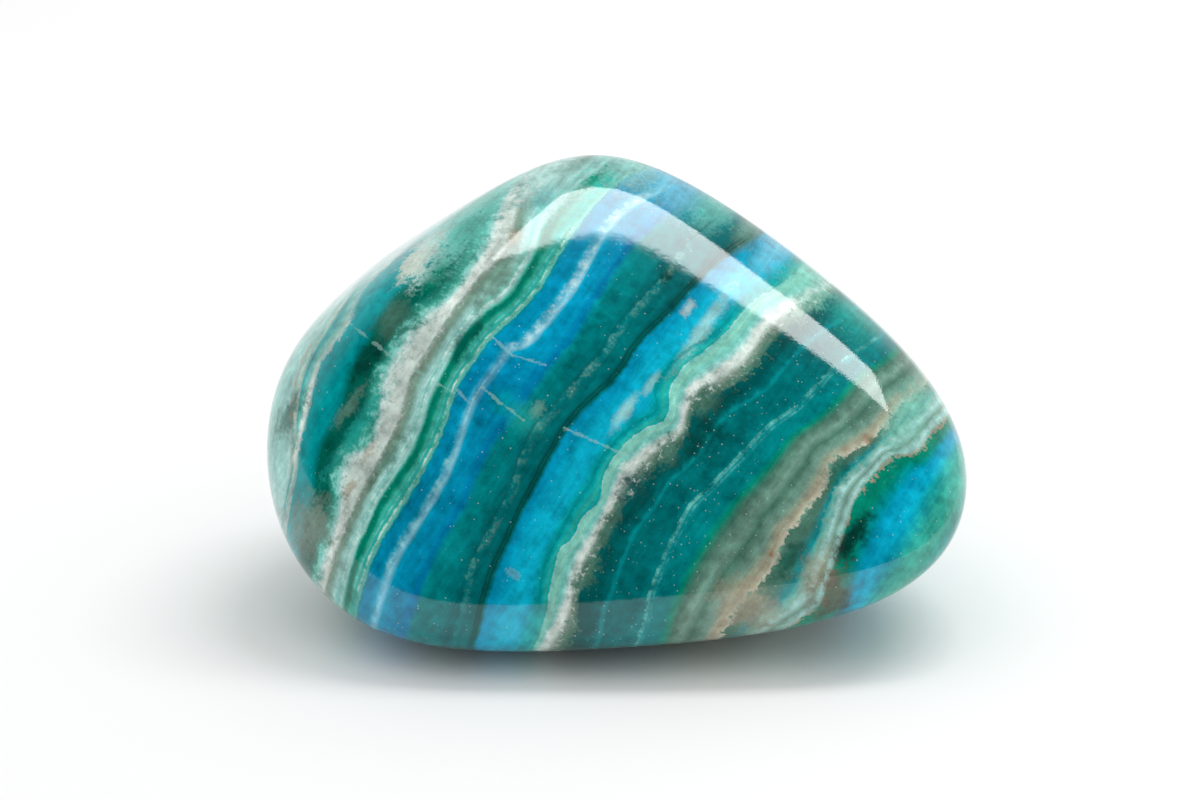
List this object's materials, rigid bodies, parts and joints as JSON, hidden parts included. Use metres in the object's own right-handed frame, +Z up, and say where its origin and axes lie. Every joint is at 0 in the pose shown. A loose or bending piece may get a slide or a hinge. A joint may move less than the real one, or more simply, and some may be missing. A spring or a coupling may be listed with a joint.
{
  "type": "tumbled amazonite stone",
  "caption": "Polished tumbled amazonite pebble with slanting blue, teal and white bands, a rounded triangle in outline, that rests on a small worn flat.",
  "frame": {"origin": "middle of the bounding box on the surface that the stone rests on", "axes": "+X along the stone toward its narrow end, the broad banded face looks toward -Y, +Z up"},
  "size_m": [0.0394, 0.028, 0.0247],
  "materials": {
    "banded_amazonite": "tumbled to a high polish"
  },
  "bodies": {
    "root": {"stone": "banded_amazonite"}
  },
  "joints": []
}
